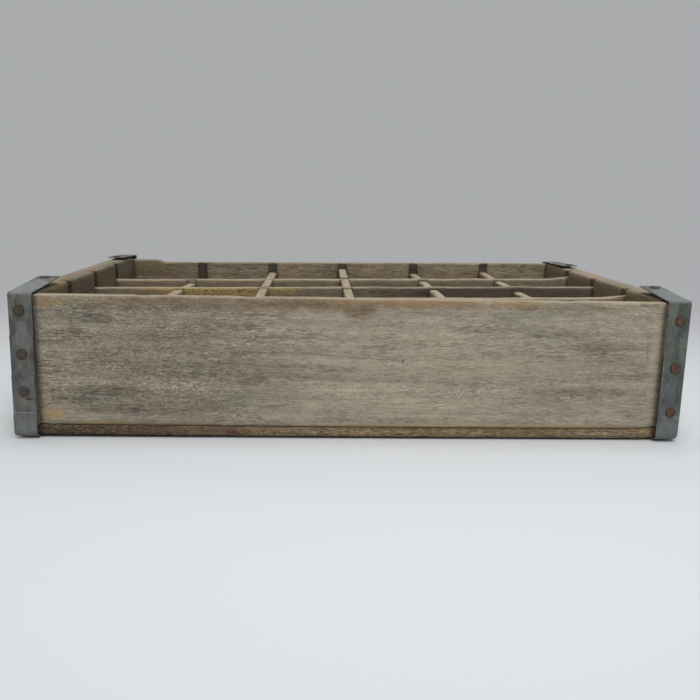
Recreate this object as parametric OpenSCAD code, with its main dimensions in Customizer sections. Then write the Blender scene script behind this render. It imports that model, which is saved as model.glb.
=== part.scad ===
// Wooden bottle crate: six by four cells, nailed boards, bent steel corner straps.
// Millimetres. X runs along the crate, Y across it from front to back, Z up.
// The origin lies on the floor under the middle of the crate.

/* [Crate] */
// Length over the outer faces of the two end boards
crate_length = 466; // [390:1:600]
// Width over the ends of the end boards, without the straps
crate_width = 303; // [250:1:400]
// Height of the top of the end boards above the floor
crate_height = 100; // [80:1:140]

/* [End boards] */
// Thickness of an end board
end_thickness = 17; // [16:0.5:26]
// Radius worn on the upright outer edges of an end board
end_edge_radius = 1.5; // [0.5:0.5:5]
// Radius worn on the top edges of an end board
end_top_radius = 1.5; // [0.5:0.5:3]
// Length of a hand hole
hand_hole_length = 96; // [70:1:116]
// Height of a hand hole
hand_hole_height = 25; // [18:1:30]
// Wood left between a hand hole and the top of its end board
hand_hole_drop = 25; // [12:1:30]

/* [Side boards] */
// Thickness of a side board
side_thickness = 9.5; // [7:0.5:13]
// How far the top of the front board lies below the top of the end boards
side_drop = 1; // [0.5:0.5:6]
// How far the top of the back board lies below it at its right end
back_drop = 0.3; // [0.1:0.1:6]
// Wood of an end board left outside each side board
lip_thickness = 3.5; // [2.5:0.5:7]
// Depth of the housings in the end boards that hold the side boards
housing_depth = 6; // [4:0.5:8]
// How far the top edge of the back board has worn down at its left end
back_wear = 5.5; // [1:0.5:8]
// Length of the stub at that end whose top edge has not split away
stub_length = 24; // [10:1:40]
// Height of that stub over the worn edge
stub_rise = 3; // [0.5:0.5:4]

/* [Bottom slats] */
// Thickness of a bottom slat
slat_thickness = 7.5; // [5:0.5:11]
// Gap between two bottom slats
slat_gap = 6; // [3:0.5:7]
// Depth of the rebates in the end boards that hold the ends of the slats
rebate_depth = 9; // [7:0.5:12]

/* [Dividers] */
// Thickness of a divider
divider_thickness = 8; // [6:0.5:10]
// How far the top of the dividers lies below the top of the end boards, at the left end
divider_drop = 14.5; // [8:0.5:20]
// How far the right end of the grid of dividers has worked up off the slats
grid_lift = 7; // [0.5:0.5:8]
// How much longer and wider the outer cells are than the others
outer_cell_extra = 2; // [0:0.5:6]
// Depth of the grooves in the end boards that hold the long dividers
end_groove_depth = 6; // [3:0.5:8]
// Depth of the grooves in the side boards that hold the cross dividers
side_groove_depth = 3; // [2:0.5:4]
// Radius worn on the top edges of a divider
divider_edge_radius = 1; // [0.5:0.25:2]
// How far each cross divider, from the left, stands to the right of its even place
cross_shifts = [0, 0, 0, 2.3, 3.7]; // [-4:0.1:4]
// How far the worn top of each cross divider lies below the long ones, up to its middle
cross_drops = [1.4, 0.3, 1.2, 2, 3.8]; // [0:0.1:6]
// How far that top falls further from the middle of the divider to its back end
cross_falls = [7.3, 1.8, -2.6, 1.5, -1.6]; // [-3:0.1:8]
// How far the top of each long divider, from the front, has worn down
long_drops = [0, 0, 1]; // [0:0.1:3]
// Length of the unworn ridge at the right end of the front and the back long divider
ridge_length = 34; // [15:1:50]
// Height of that ridge at the end of the divider
ridge_height = 2.5; // [0.5:0.5:4]

/* [Corner straps] */
// Width of a strap
strap_width = 16; // [12:0.5:18]
// Thickness of the strap steel
strap_thickness = 1; // [0.8:0.1:1.5]
// Length of the upper fold of the front left strap
left_fold_length = 61; // [40:1:70]
// Length of the upper fold of the front right strap
right_fold_length = 53; // [40:1:70]
// Length of the upper fold of the back left strap
back_left_fold_length = 54; // [40:1:70]
// Length of the upper fold of the back right strap
back_right_fold_length = 68; // [40:1:70]
// Length of the lower fold of a strap
lower_fold_length = 45; // [36:1:60]
// How far the free ends of the front upper folds have been pulled up off the wood
front_fold_lift = 4.5; // [0.5:0.5:8]
// How far the free ends of the back upper folds have been pulled up off the wood
back_fold_lift = 2; // [0.5:0.5:8]
// How far the foot of the front left strap stands outside its head
strap_lean = 1.8; // [0.1:0.1:2.5]
// Inside radius of the bend at the foot of a strap
foot_bend_radius = 4; // [2:0.5:6]
// Radius worn on the outer lower corner of a strap
foot_corner_radius = 3.5; // [1:0.5:5]

/* [Nails] */
// Diameter of a strap nail's head
strap_head_diameter = 7.4; // [5:0.2:8]
// Thickness of a strap nail's head
strap_head_thickness = 0.9; // [0.6:0.1:1.5]
// Diameter of a board nail's head
board_head_diameter = 5.2; // [4:0.2:6.5]
// Diameter of every nail's shank
shank_diameter = 2.5; // [2:0.1:3]
// Length of a strap nail
strap_nail_length = 28; // [20:1:34]
// Length of a board nail
board_nail_length = 36; // [28:1:45]

/* [Play] */
// Clearance on each side of a board in its housing, rebate or groove
board_play = 0.25; // [0.1:0.05:0.5]
// Clearance on each side of a long divider in the slot of a cross divider
crossing_play = 1; // [0.3:0.1:1.5]
// Clearance round a nail
nail_play = 0.05; // [0.02:0.01:0.2]

/* [Hidden] */
$fn = 96;

// How far a cutting shape reaches past the surface that it cuts
over = 1;
// The two ends and the two sides of the crate
ends = [-1, 1];
// Counts of the repeated pieces
long_count = 3;
cross_count = 5;
slat_count = 4;

// Planes that the pieces share
half_length = crate_length / 2;
half_width = crate_width / 2;
end_inner_x = half_length - end_thickness;
side_outer_y = half_width - lip_thickness;
side_inner_y = side_outer_y - side_thickness;
side_middle_y = side_outer_y - side_thickness / 2;
board_bottom_z = strap_thickness;
slat_top_z = board_bottom_z + slat_thickness;
front_top_z = crate_height - side_drop;
back_top_z = crate_height - back_drop;
divider_top_z = crate_height - divider_drop;
divider_height = divider_top_z - slat_top_z;
crossing_z = (slat_top_z + divider_top_z) / 2;
strap_face_y = half_width + strap_thickness;

// Spacing of the dividers and of the slats
cell_length = (2 * (end_inner_x - outer_cell_extra) - cross_count * divider_thickness)
    / (cross_count + 1);
cell_width = (2 * (side_inner_y - outer_cell_extra) - long_count * divider_thickness)
    / (long_count + 1);
cross_pitch = cell_length + divider_thickness;
long_pitch = cell_width + divider_thickness;
slat_width = (2 * side_outer_y - (slat_count - 1) * slat_gap) / slat_count;
slat_pitch = slat_width + slat_gap;

// Where each piece lies in its row
function centred(index, count, pitch) = (index - (count - 1) / 2) * pitch;
function cross_x(index) = centred(index, cross_count, cross_pitch) + cross_shifts[index];
function long_y(index) = centred(index, long_count, long_pitch);
function slat_y(index) = centred(index, slat_count, slat_pitch);

// The grid of dividers slopes: it lies on the slats at its left end only
long_reach = end_inner_x + end_groove_depth - board_play;
side_reach = end_inner_x + housing_depth - board_play;
cross_reach = side_inner_y + side_groove_depth - board_play;
grid_slope = grid_lift / (2 * long_reach);
function lift_at(x) = (x + long_reach) * grid_slope;

// Small radii of the sawn edges
sawn_radius = 0.6;
// Radius worn on the long edges of a slat
slat_radius = 1.2;
// Outside radius of the bend at the head of a strap
head_bend_radius = 2;

// Nail places, as shares of the crate's height, up the legs of a left and a right strap
left_leg_nails = [0.33, 0.59, 0.889];
right_leg_nails = [0.213, 0.534, 0.873];
// Nail places up an end board, as shares of the crate's height
end_nail_shares = [0.26, 0.44, 0.74];
// Distance of the strap nails outside the bottom of the housings
strap_nail_margin = 3;
strap_nail_x = end_inner_x + housing_depth + strap_nail_margin;
// Distance of the nails in the folds from the free ends of the folds
upper_nail_margin = 7;
lower_nail_margin = 9;
lower_nail_reach = lower_fold_length - lower_nail_margin;
// Distance of a foot nail inside the end of a slat
foot_nail_margin = 3;
foot_nail_x = end_inner_x + rebate_depth - foot_nail_margin;
// Distance of a slat nail from the long edge of its slat, so that the outer ones clear the side boards
slat_nail_margin = side_thickness + shank_diameter;
slat_nail_offset = slat_width / 2 - slat_nail_margin;
slat_nail_x = end_inner_x + rebate_depth / 2;
// Length of a nail's point
point_length = 3;
// How much smaller in radius the head of a foot nail is than that of a strap nail
foot_head_step = 0.2;
// Depth of a board nail's head under the face of the wood, and its thickness
head_sink = 0.2;
board_head_thickness = 1;

// Run of the slope where the stub of the back board has split away
split_run = 6;

// Slit that a pulled nail left in one strap
slit_length = 3.4;
slit_height = 1.4;
slit_shift = 2.6;
slit_drop = 5.6;

// Flat outlines

// The waste outside a rounded corner that opens towards +X and +Y
module corner_waste(radius) {
    difference() {
        translate([-over, -over]) square(radius + over);
        translate([radius, radius]) circle(radius);
    }
}

// A rectangle with its own radius at each corner, counted from the low corner anticlockwise
module rounded_outline(low, high, radii) {
    corners = [low, [high.x, low.y], high, [low.x, high.y]];
    difference() {
        translate(low) square(high - low);
        for (k = [0:3])
            translate(corners[k]) rotate(90 * k) corner_waste(radii[k]);
    }
}

// Extrusions along each axis, of an outline drawn in the plane across that axis

// Outline in Y and Z, extruded along X
module along_x(start, length) {
    translate([start, 0, 0]) rotate([90, 0, 90]) linear_extrude(length) children();
}

// Outline in X and Z, extruded along Y
module along_y(start, length) {
    translate([0, start + length, 0]) rotate([90, 0, 0]) linear_extrude(length) children();
}

// Outline in X and Y, extruded along Z
module along_z(start, length) {
    translate([0, 0, start]) linear_extrude(length) children();
}

// Turns a piece made for the front or the right end round to the back or the left end
module turned(half_turn) {
    rotate([0, 0, half_turn ? 180 : 0]) children();
}

// Nails, made with the underside of the head at the origin and the point downwards

// Strap nail with a low domed head
module strap_nail(play = 0) {
    radius = strap_head_diameter / 2;
    shank = shank_diameter / 2 + play;
    depth = strap_nail_length + play;
    rotate_extrude()
        polygon([
            [0, -depth], [shank, point_length - depth], [shank, 0], [radius, 0],
            [radius, strap_head_thickness * 0.4], [radius * 0.8, strap_head_thickness * 0.8],
            [radius * 0.4, strap_head_thickness], [0, strap_head_thickness]
        ]);
}

// The hole that a strap nail takes in the wood and the steel
module strap_nail_hole() {
    shank = shank_diameter / 2 + nail_play;
    depth = strap_nail_length + nail_play;
    rotate_extrude()
        polygon([[0, -depth], [shank, point_length - depth], [shank, over], [0, over]]);
}

// Nail with a countersunk head, flush in the lower fold of a strap
module foot_nail(play = 0) {
    radius = strap_head_diameter / 2 - foot_head_step + play;
    shank = shank_diameter / 2 + play;
    depth = strap_nail_length + play;
    face = play > 0 ? 0 : -nail_play;
    rotate_extrude()
        polygon([
            [0, -depth], [shank, point_length - depth], [shank, -strap_thickness],
            [radius, -nail_play], [radius, face], [0, face]
        ]);
}

// Board nail with a flat head driven just under the face of the wood
module board_nail() {
    shank = shank_diameter / 2;
    head = board_head_diameter / 2;
    rotate_extrude()
        polygon([
            [0, -board_nail_length], [shank, point_length - board_nail_length],
            [shank, -head_sink - board_head_thickness], [head, -head_sink - board_head_thickness],
            [head, -head_sink], [0, -head_sink]
        ]);
}

// The hole that a board nail takes in the wood
module board_nail_hole() {
    shank = shank_diameter / 2 + nail_play;
    head = board_head_diameter / 2 + nail_play;
    depth = board_nail_length + nail_play;
    seat = head_sink + board_head_thickness;
    rotate_extrude()
        polygon([
            [0, -depth], [shank, point_length - depth], [shank, -seat],
            [head, -seat], [head, over], [0, over]
        ]);
}

// Straps are made at the front, with hand -1 on the left and 1 on the right

// The upper fold rises straight from the bend to its free end
// A back strap has the hand of the front strap across from it, so the back right one is left-handed
function fold_length(hand, at_back) =
    at_back ? (hand < 0 ? back_right_fold_length : back_left_fold_length)
        : hand < 0 ? left_fold_length : right_fold_length;
function fold_angle(hand, at_back) =
    asin((at_back ? back_fold_lift : front_fold_lift)
        / (fold_length(hand, at_back) - head_bend_radius));

// The strip seen from the side: X inwards from the face of the strap, Y up
module strap_profile(length, angle) {
    head = crate_height + strap_thickness - head_bend_radius;
    foot = foot_bend_radius + strap_thickness;
    inside = head_bend_radius - strap_thickness;
    // Leg
    translate([0, foot]) square([strap_thickness, head - foot]);
    // Bend at the head, which stops where the fold starts
    translate([head_bend_radius, head]) {
        difference() {
            intersection() {
                circle(head_bend_radius);
                translate([-head_bend_radius, 0]) square(head_bend_radius);
            }
            circle(inside);
            rotate(angle) translate([0, -over]) square(head_bend_radius + 2 * over);
        }
        // Upper fold
        rotate(angle)
            translate([0, inside]) square([length - head_bend_radius, strap_thickness]);
    }
    // Bend at the foot
    intersection() {
        translate([foot, foot])
            difference() {
                circle(foot);
                circle(foot_bend_radius);
            }
        square(foot);
    }
    // Lower fold
    translate([foot, 0]) square([lower_fold_length - foot, strap_thickness]);
}

// The strip seen from the front, with its outer lower corner worn round
module strap_outline(hand, lean) {
    top = crate_height + strap_thickness + front_fold_lift + back_fold_lift + over;
    head = crate_height + strap_thickness - head_bend_radius;
    inner = hand * end_inner_x;
    outer = hand * (end_inner_x + strap_width);
    foot_outer = outer - lean;
    difference() {
        polygon([
            [inner, top], [outer, top], [outer, head],
            [foot_outer, 0], [inner - lean, 0], [inner, head]
        ]);
        translate([foot_outer, 0]) rotate(hand > 0 ? 90 : 0) corner_waste(foot_corner_radius);
    }
}

module strap(hand, at_back) {
    length = fold_length(hand, at_back);
    lean = hand < 0 && !at_back ? strap_lean : 0;
    spare = strap_lean + over;
    start = hand > 0 ? end_inner_x : -end_inner_x - strap_width;
    intersection() {
        translate([0, -strap_face_y, 0])
            along_x(start - spare, strap_width + 2 * spare)
                strap_profile(length, fold_angle(hand, at_back));
        along_y(-strap_face_y - over, length + 2 * over) strap_outline(hand, lean);
    }
}

// Puts its child at each nail of a strap's leg, at the nail of its upper fold, or of its foot
module at_leg_nails(hand) {
    for (share = hand > 0 ? right_leg_nails : left_leg_nails)
        translate([hand * strap_nail_x, -strap_face_y, share * crate_height])
            rotate([90, 0, 0]) children();
}

module at_upper_nail(hand, at_back) {
    reach = fold_length(hand, at_back) - upper_nail_margin - head_bend_radius;
    bend_y = head_bend_radius - strap_face_y;
    bend_z = crate_height + strap_thickness - head_bend_radius;
    translate([hand * strap_nail_x, bend_y, bend_z])
        rotate([fold_angle(hand, at_back), 0, 0])
            translate([0, reach, head_bend_radius]) children();
}

module at_foot_nail(hand) {
    translate([hand * foot_nail_x, lower_nail_reach - strap_face_y, 0])
        rotate([180, 0, 0]) children();
}

module strap_nail_set(hand, at_back) {
    at_leg_nails(hand) strap_nail();
    at_upper_nail(hand, at_back) strap_nail();
    at_foot_nail(hand) foot_nail();
}

module strap_nail_holes(hand, at_back) {
    at_leg_nails(hand) strap_nail_hole();
    at_upper_nail(hand, at_back) strap_nail_hole();
    at_foot_nail(hand) foot_nail(nail_play);
}

// The holes that the straps at both ends of one end board take, for the end on side 1 or -1
module corner_holes(side) {
    strap_nail_holes(side, false);
    turned(true) strap_nail_holes(-side, true);
}

// A strap with its nail holes, turned to its own corner
module nailed_strap(hand, at_back) {
    color("#7d8688")
        turned(at_back)
            difference() {
                strap(hand, at_back);
                strap_nail_holes(hand, at_back);
            }
}

// Puts its child at the nails that hold the side boards in one end board
module at_end_nails(side) {
    for (row = ends)
        for (share = end_nail_shares)
            translate([side * half_length, row * side_middle_y, share * crate_height])
                rotate([0, side * 90, 0]) children();
}

// Puts its child at the nails that hold one slat in both end boards
module at_slat_nails(index) {
    for (side = ends)
        for (row = ends)
            translate([side * slat_nail_x, slat_y(index) + row * slat_nail_offset, board_bottom_z])
                rotate([180, 0, 0]) children();
}

// Puts its child at the nails that hold the outer slats to the side boards, between the grooves
module at_side_nails(row) {
    for (index = [0, 1, cross_count - 1, cross_count])
        translate([centred(index - 1 / 2, cross_count, cross_pitch), row * side_middle_y, board_bottom_z])
            rotate([180, 0, 0]) children();
}

// Boards

// Outline of an end board seen from the end
module end_outline() {
    low = [-half_width, board_bottom_z];
    high = [half_width, crate_height];
    head_radius = head_bend_radius - strap_thickness;
    rounded_outline(low, high, [foot_bend_radius, foot_bend_radius, head_radius, head_radius]);
}

// Hand hole with round ends
module hand_hole_outline() {
    radius = hand_hole_height / 2;
    reach = hand_hole_length / 2 - radius;
    translate([0, crate_height - hand_hole_drop - radius]) {
        square([2 * reach, hand_hole_height], center = true);
        for (row = ends)
            translate([row * reach, 0]) circle(radius);
    }
}

// The right end board before it is nailed
module end_board_blank() {
    housing = side_thickness + 2 * board_play;
    groove = divider_thickness + 2 * board_play;
    tall = crate_height + 2 * over;
    difference() {
        intersection() {
            along_x(end_inner_x, end_thickness) end_outline();
            along_z(0, tall)
                rounded_outline([end_inner_x, -half_width], [half_length, half_width],
                    [sawn_radius, end_edge_radius, end_edge_radius, sawn_radius]);
            along_y(-half_width, crate_width)
                rounded_outline([end_inner_x, 0], [half_length, crate_height],
                    [sawn_radius, sawn_radius, end_top_radius, end_top_radius]);
        }
        // Housings for the side boards
        for (row = ends)
            translate([end_inner_x - over, row * side_middle_y - housing / 2, slat_top_z])
                cube([housing_depth + over, housing, tall]);
        // Grooves for the long dividers
        for (index = [0:long_count - 1])
            translate([end_inner_x - over, long_y(index) - groove / 2, 0])
                cube([end_groove_depth + over, groove, tall]);
        // Rebate for the slats
        translate([end_inner_x - over, -half_width - over, 0])
            cube([rebate_depth + over, crate_width + 2 * over, slat_top_z]);
        along_x(end_inner_x - over, end_thickness + 2 * over) hand_hole_outline();
    }
}

module end_board(side) {
    color("#8b8071")
        difference() {
            turned(side < 0) end_board_blank();
            corner_holes(side);
            at_end_nails(side) board_nail_hole();
            for (index = [0:slat_count - 1])
                at_slat_nails(index) board_nail_hole();
        }
}

// Outline of a side board seen from the front
module side_outline() {
    translate([-side_reach, slat_top_z]) square([2 * side_reach, front_top_z - slat_top_z]);
}

// Outline of the worn back board: its top edge slopes down to a stub at its left end
module worn_outline() {
    stub_z = back_top_z - back_wear + stub_rise;
    slope_x = stub_length + split_run - end_inner_x;
    slope_z = back_top_z - back_wear * (side_reach - slope_x) / (2 * side_reach);
    polygon([
        [-side_reach, slat_top_z], [side_reach, slat_top_z], [side_reach, back_top_z],
        [slope_x, slope_z], [stub_length - end_inner_x, stub_z], [-side_reach, stub_z]
    ]);
}

// A side board with the outline that is given, on row 1 at the back or -1 at the front
module side_board(row) {
    groove = divider_thickness + 2 * board_play;
    inner = row > 0 ? side_inner_y : -side_outer_y;
    top_z = row > 0 ? back_top_z : front_top_z;
    color("#968b7b")
        difference() {
            intersection() {
                along_y(inner, side_thickness) children();
                along_x(-half_length, crate_length)
                    rounded_outline([inner, slat_top_z], [inner + side_thickness, top_z],
                        [sawn_radius, sawn_radius, sawn_radius, sawn_radius]);
            }
            // Grooves for the cross dividers
            for (index = [0:cross_count - 1])
                translate([cross_x(index) - groove / 2, row * side_inner_y - side_groove_depth, 0])
                    cube([groove, 2 * side_groove_depth, crate_height + 2 * over]);
            for (side = ends)
                at_end_nails(side) board_nail_hole();
            at_side_nails(row) board_nail_hole();
        }
}

module bottom_slat(index) {
    reach = end_inner_x + rebate_depth - board_play;
    start = slat_y(index) - slat_width / 2;
    color("#6f5c48")
        difference() {
            along_x(-reach, 2 * reach)
                rounded_outline([start, board_bottom_z], [start + slat_width, slat_top_z],
                    [slat_radius, slat_radius, sawn_radius, sawn_radius]);
            at_slat_nails(index) board_nail_hole();
            for (row = ends)
                at_side_nails(row) board_nail_hole();
            for (side = ends)
                corner_holes(side);
        }
}

// Dividers

// A divider's thickness seen from its end, with worn top edges, its foot at height zero
module divider_section(middle, height) {
    rounded_outline([middle - divider_thickness / 2, 0],
        [middle + divider_thickness / 2, height],
        [sawn_radius, sawn_radius, divider_edge_radius, divider_edge_radius]);
}

// The ridge that stands on a long divider at its right end, where bottles never wore it down
module ridge(middle) {
    width = divider_thickness - 2 * divider_edge_radius;
    start_x = long_reach - ridge_length;
    end_x = long_reach + over;
    base_z = divider_top_z - over;
    along_y(middle - width / 2, width)
        polygon([
            [start_x, base_z + lift_at(start_x)], [end_x, base_z + lift_at(end_x)],
            [end_x, divider_top_z + lift_at(end_x) + ridge_height]
        ]);
}

// A long divider keeps its top edge whole and drops over the cross dividers.
// It slopes with the grid, and its ends and slots are cut upright.
module long_divider(index, ridged) {
    slot = divider_thickness + 2 * board_play;
    slot_top = crossing_z + board_play;
    length = 2 * long_reach;
    color("#a3917a")
        difference() {
            intersection() {
                union() {
                    translate([-long_reach, 0, slat_top_z])
                        rotate([0, -atan(grid_slope), 0])
                            along_x(-2 * over, length + 4 * over)
                                divider_section(long_y(index), divider_height - long_drops[index]);
                    if (ridged)
                        translate([0, 0, -long_drops[index]])
                            ridge(long_y(index));
                }
                translate([-long_reach, -half_width, 0])
                    cube([length, crate_width, crate_height + ridge_height]);
            }
            for (cross = [0:cross_count - 1])
                translate([cross_x(cross) - slot / 2, -half_width, 0])
                    cube([slot, crate_width, slot_top + lift_at(cross_x(cross))]);
        }
}

// The back half of a cross divider, whose top falls or rises from the middle of the divider
module cross_back_half(middle, height, fall) {
    foot_height = crossing_z - slat_top_z + over;
    along_y(0, cross_reach) divider_section(middle, foot_height);
    intersection() {
        translate([0, 0, height])
            rotate([-atan(fall / cross_reach), 0, 0])
                translate([0, 0, -height])
                    along_y(-height, cross_reach + 2 * height) divider_section(middle, height);
        translate([middle - divider_thickness, 0, foot_height / 2])
            cube([2 * divider_thickness, cross_reach, crate_height]);
    }
}

// A cross divider is slotted from above, and its middle lies in a slot
module cross_divider(index) {
    middle = cross_x(index);
    height = divider_height - cross_drops[index];
    slot = divider_thickness + 2 * crossing_play;
    slot_bottom = crossing_z - board_play;
    color("#9c8b75")
        translate([0, 0, lift_at(middle)])
            difference() {
                translate([0, 0, slat_top_z]) {
                    along_y(-cross_reach, cross_reach) divider_section(middle, height);
                    cross_back_half(middle, height, cross_falls[index]);
                }
                for (long = [0:long_count - 1])
                    translate([-half_length, long_y(long) - slot / 2, slot_bottom])
                        cube([crate_length, slot, crate_height]);
            }
}

// Named pieces

module end_board_left() end_board(-1);
module end_board_right() end_board(1);
module side_board_front() side_board(-1) side_outline();
module side_board_back() side_board(1) worn_outline();

module corner_strap_front_left() {
    slit_z = left_leg_nails[0] * crate_height - slit_drop;
    difference() {
        nailed_strap(-1, false);
        along_y(-strap_face_y - over, strap_thickness + 2 * over)
            translate([slit_shift - strap_nail_x, slit_z])
                square([slit_length, slit_height], center = true);
    }
}

module corner_strap_front_right() nailed_strap(1, false);
module corner_strap_back_left() nailed_strap(1, true);
module corner_strap_back_right() nailed_strap(-1, true);

module strap_nails(hand, at_back) {
    color("#5a3a2a") turned(at_back) strap_nail_set(hand, at_back);
}

module strap_nails_front_left() strap_nails(-1, false);
module strap_nails_front_right() strap_nails(1, false);
module strap_nails_back_left() strap_nails(1, true);
module strap_nails_back_right() strap_nails(-1, true);

module end_nails_left() color("#4a342a") at_end_nails(-1) board_nail();
module end_nails_right() color("#4a342a") at_end_nails(1) board_nail();

module slat_nails() {
    color("#4a342a")
        for (index = [0:slat_count - 1])
            at_slat_nails(index) board_nail();
}

module side_nails() {
    color("#4a342a")
        for (row = ends)
            at_side_nails(row) board_nail();
}

end_board_left();
end_board_right();
side_board_front();
side_board_back();
bottom_slat(0);  // bottom_slat_1
bottom_slat(1);  // bottom_slat_2
bottom_slat(2);  // bottom_slat_3
bottom_slat(3);  // bottom_slat_4
long_divider(0, true);  // long_divider_front
long_divider(1, false);  // long_divider_middle
long_divider(2, true);  // long_divider_back
cross_divider(0);  // cross_divider_1
cross_divider(1);  // cross_divider_2
cross_divider(2);  // cross_divider_3
cross_divider(3);  // cross_divider_4
cross_divider(4);  // cross_divider_5
corner_strap_front_left();
corner_strap_front_right();
corner_strap_back_left();
corner_strap_back_right();
strap_nails_front_left();
strap_nails_front_right();
strap_nails_back_left();
strap_nails_back_right();
end_nails_left();
end_nails_right();
slat_nails();
side_nails();
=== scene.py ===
# %% [markdown]
# # A weathered wooden bottle crate
#
# This file finishes a crate whose shape comes from a CAD model. The CAD model is the frame: it says where each
# board, strap and nail is. Blender gives each of them a worn surface and a finish.
#
# All lengths are metres, as in the frame. X runs along the crate, Y runs to its back and Z goes up.

# %% Load the frame
import itertools
import math

import bmesh
import bpy
import numpy as np
from mathutils import Matrix, Vector


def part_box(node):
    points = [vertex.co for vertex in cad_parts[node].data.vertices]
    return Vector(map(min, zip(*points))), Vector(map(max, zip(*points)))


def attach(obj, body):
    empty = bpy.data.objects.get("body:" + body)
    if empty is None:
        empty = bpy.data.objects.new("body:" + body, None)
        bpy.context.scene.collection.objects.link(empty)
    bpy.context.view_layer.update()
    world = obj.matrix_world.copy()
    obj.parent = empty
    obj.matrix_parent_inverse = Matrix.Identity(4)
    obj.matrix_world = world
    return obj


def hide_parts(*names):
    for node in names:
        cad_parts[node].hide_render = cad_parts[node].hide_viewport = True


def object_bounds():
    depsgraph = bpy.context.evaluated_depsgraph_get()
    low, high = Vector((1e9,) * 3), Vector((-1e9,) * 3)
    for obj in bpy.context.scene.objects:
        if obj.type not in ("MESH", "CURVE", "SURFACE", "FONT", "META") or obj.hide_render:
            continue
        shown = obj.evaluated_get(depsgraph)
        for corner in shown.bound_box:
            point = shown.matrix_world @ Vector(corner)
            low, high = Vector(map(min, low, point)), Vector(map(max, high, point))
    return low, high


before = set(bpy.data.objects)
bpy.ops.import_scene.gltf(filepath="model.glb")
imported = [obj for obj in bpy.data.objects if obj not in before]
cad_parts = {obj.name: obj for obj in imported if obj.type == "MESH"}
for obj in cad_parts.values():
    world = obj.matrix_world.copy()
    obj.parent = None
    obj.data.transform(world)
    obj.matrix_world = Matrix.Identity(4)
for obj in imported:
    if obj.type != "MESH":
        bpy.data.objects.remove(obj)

MM = 0.001
cad_low, cad_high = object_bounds()
print("nodes in the frame:", len(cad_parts))
print("crate size in mm:", [round((high - low) / MM, 1) for low, high in zip(cad_low, cad_high)])

# %% [markdown]
# ## Random numbers that stay the same
#
# Old wood is uneven everywhere, so the shapes need noise. Python's own random numbers would do, but a smooth field
# is better: two points that are near each other then get nearly the same value. The field here has a fixed number
# at each corner of a lattice and blends between corners. The numbers come from a formula, so each run is the same.

# %% Smooth noise in numpy
def lattice_number(corner, seed):
    """A fixed number from 0 to 1 for each lattice corner."""
    mixed = corner.astype(np.uint32)
    number = mixed[:, 0] * np.uint32(374761393) + mixed[:, 1] * np.uint32(668265263)
    number = number + mixed[:, 2] * np.uint32(2246822519) + np.uint32((seed * 3266489917) % 2**32)
    number = (number ^ (number >> np.uint32(13))) * np.uint32(1274126177)
    number = (number ^ (number >> np.uint32(16))) * np.uint32(2654435761)
    return (number >> np.uint32(8)).astype(float) / 2**24


def soft_noise(points, seed):
    """Soft hills from -1 to 1, about one for each unit of length."""
    cell = np.floor(points)
    part = points - cell
    part = part * part * (3 - 2 * part)
    cell = cell.astype(np.int64)
    total = np.zeros(len(points))
    for corner in itertools.product((0, 1), repeat=3):
        weight = np.ones(len(points))
        for axis, side in enumerate(corner):
            weight = weight * (part[:, axis] if side else 1 - part[:, axis])
        total += weight * lattice_number(cell + np.array(corner), seed)
    return 2 * total - 1


def layered_noise(points, seed, layers=3):
    """Soft noise with finer and weaker noise laid over it."""
    total = np.zeros(len(points))
    for layer in range(layers):
        total += soft_noise(points * 2**layer, seed + layer) / 2**layer
    return total / 1.5


print("noise at three points:", layered_noise(np.array([[0.1, 0.2, 0.3], [5.5, 1, 2], [9, 9, 9.5]]), 1).round(3))

# %% [markdown]
# ## Camera
#
# The photograph looks slightly down on the front of the crate from a short distance, with the camera tipped a
# little. The view was found by matching corners of the boards to the CAD model. A camera looks along its own -Z,
# so its matrix is made from three directions: right, up and backwards.

# %% Place the camera
LENS_MM = 39.427
CAMERA_PLACE = Vector((-27.714, -666.262, 171.057)) * MM
LOOKS_DOWN = math.radians(11.7319)
TURNS_LEFT = math.radians(-2.6767)
TIPS_OVER = math.radians(1.1590)

turn = Matrix.Rotation(TURNS_LEFT, 3, "Z")
forward = turn @ Vector((0, math.cos(LOOKS_DOWN), -math.sin(LOOKS_DOWN)))
level_right = turn @ Vector((1, 0, 0))
level_up = level_right.cross(forward)
right = math.cos(TIPS_OVER) * level_right + math.sin(TIPS_OVER) * level_up
up = math.cos(TIPS_OVER) * level_up - math.sin(TIPS_OVER) * level_right

camera_data = bpy.data.cameras.new("photo_camera")
camera_data.lens = LENS_MM
camera_data.sensor_width = 36
camera_data.clip_start = 0.02
camera_data.clip_end = 60
camera = bpy.data.objects.new("photo_camera", camera_data)
camera.matrix_world = Matrix.Translation(CAMERA_PLACE) @ Matrix((right, up, -forward)).transposed().to_4x4()
bpy.context.scene.collection.objects.link(camera)
bpy.context.scene.camera = camera
print("camera to crate centre in mm:", round(((cad_low + cad_high) / 2 - CAMERA_PLACE).length / MM))

# %% [markdown]
# ## A small kit for finishes
#
# A finish in Blender is a graph of nodes. Writing each node and link by hand takes many lines, so this helper adds
# a node, feeds its inputs and hands back its output. Colours are written as they look on a screen, from 0 to 255,
# and turned into the linear values that Blender mixes.

# %% The finish kit
def tone(red, green, blue):
    """A screen colour as linear light with full alpha."""
    linear = []
    for value in (red, green, blue):
        share = value / 255
        linear.append(share / 12.92 if share <= 0.04045 else ((share + 0.055) / 1.055) ** 2.4)
    return (*linear, 1.0)


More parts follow.
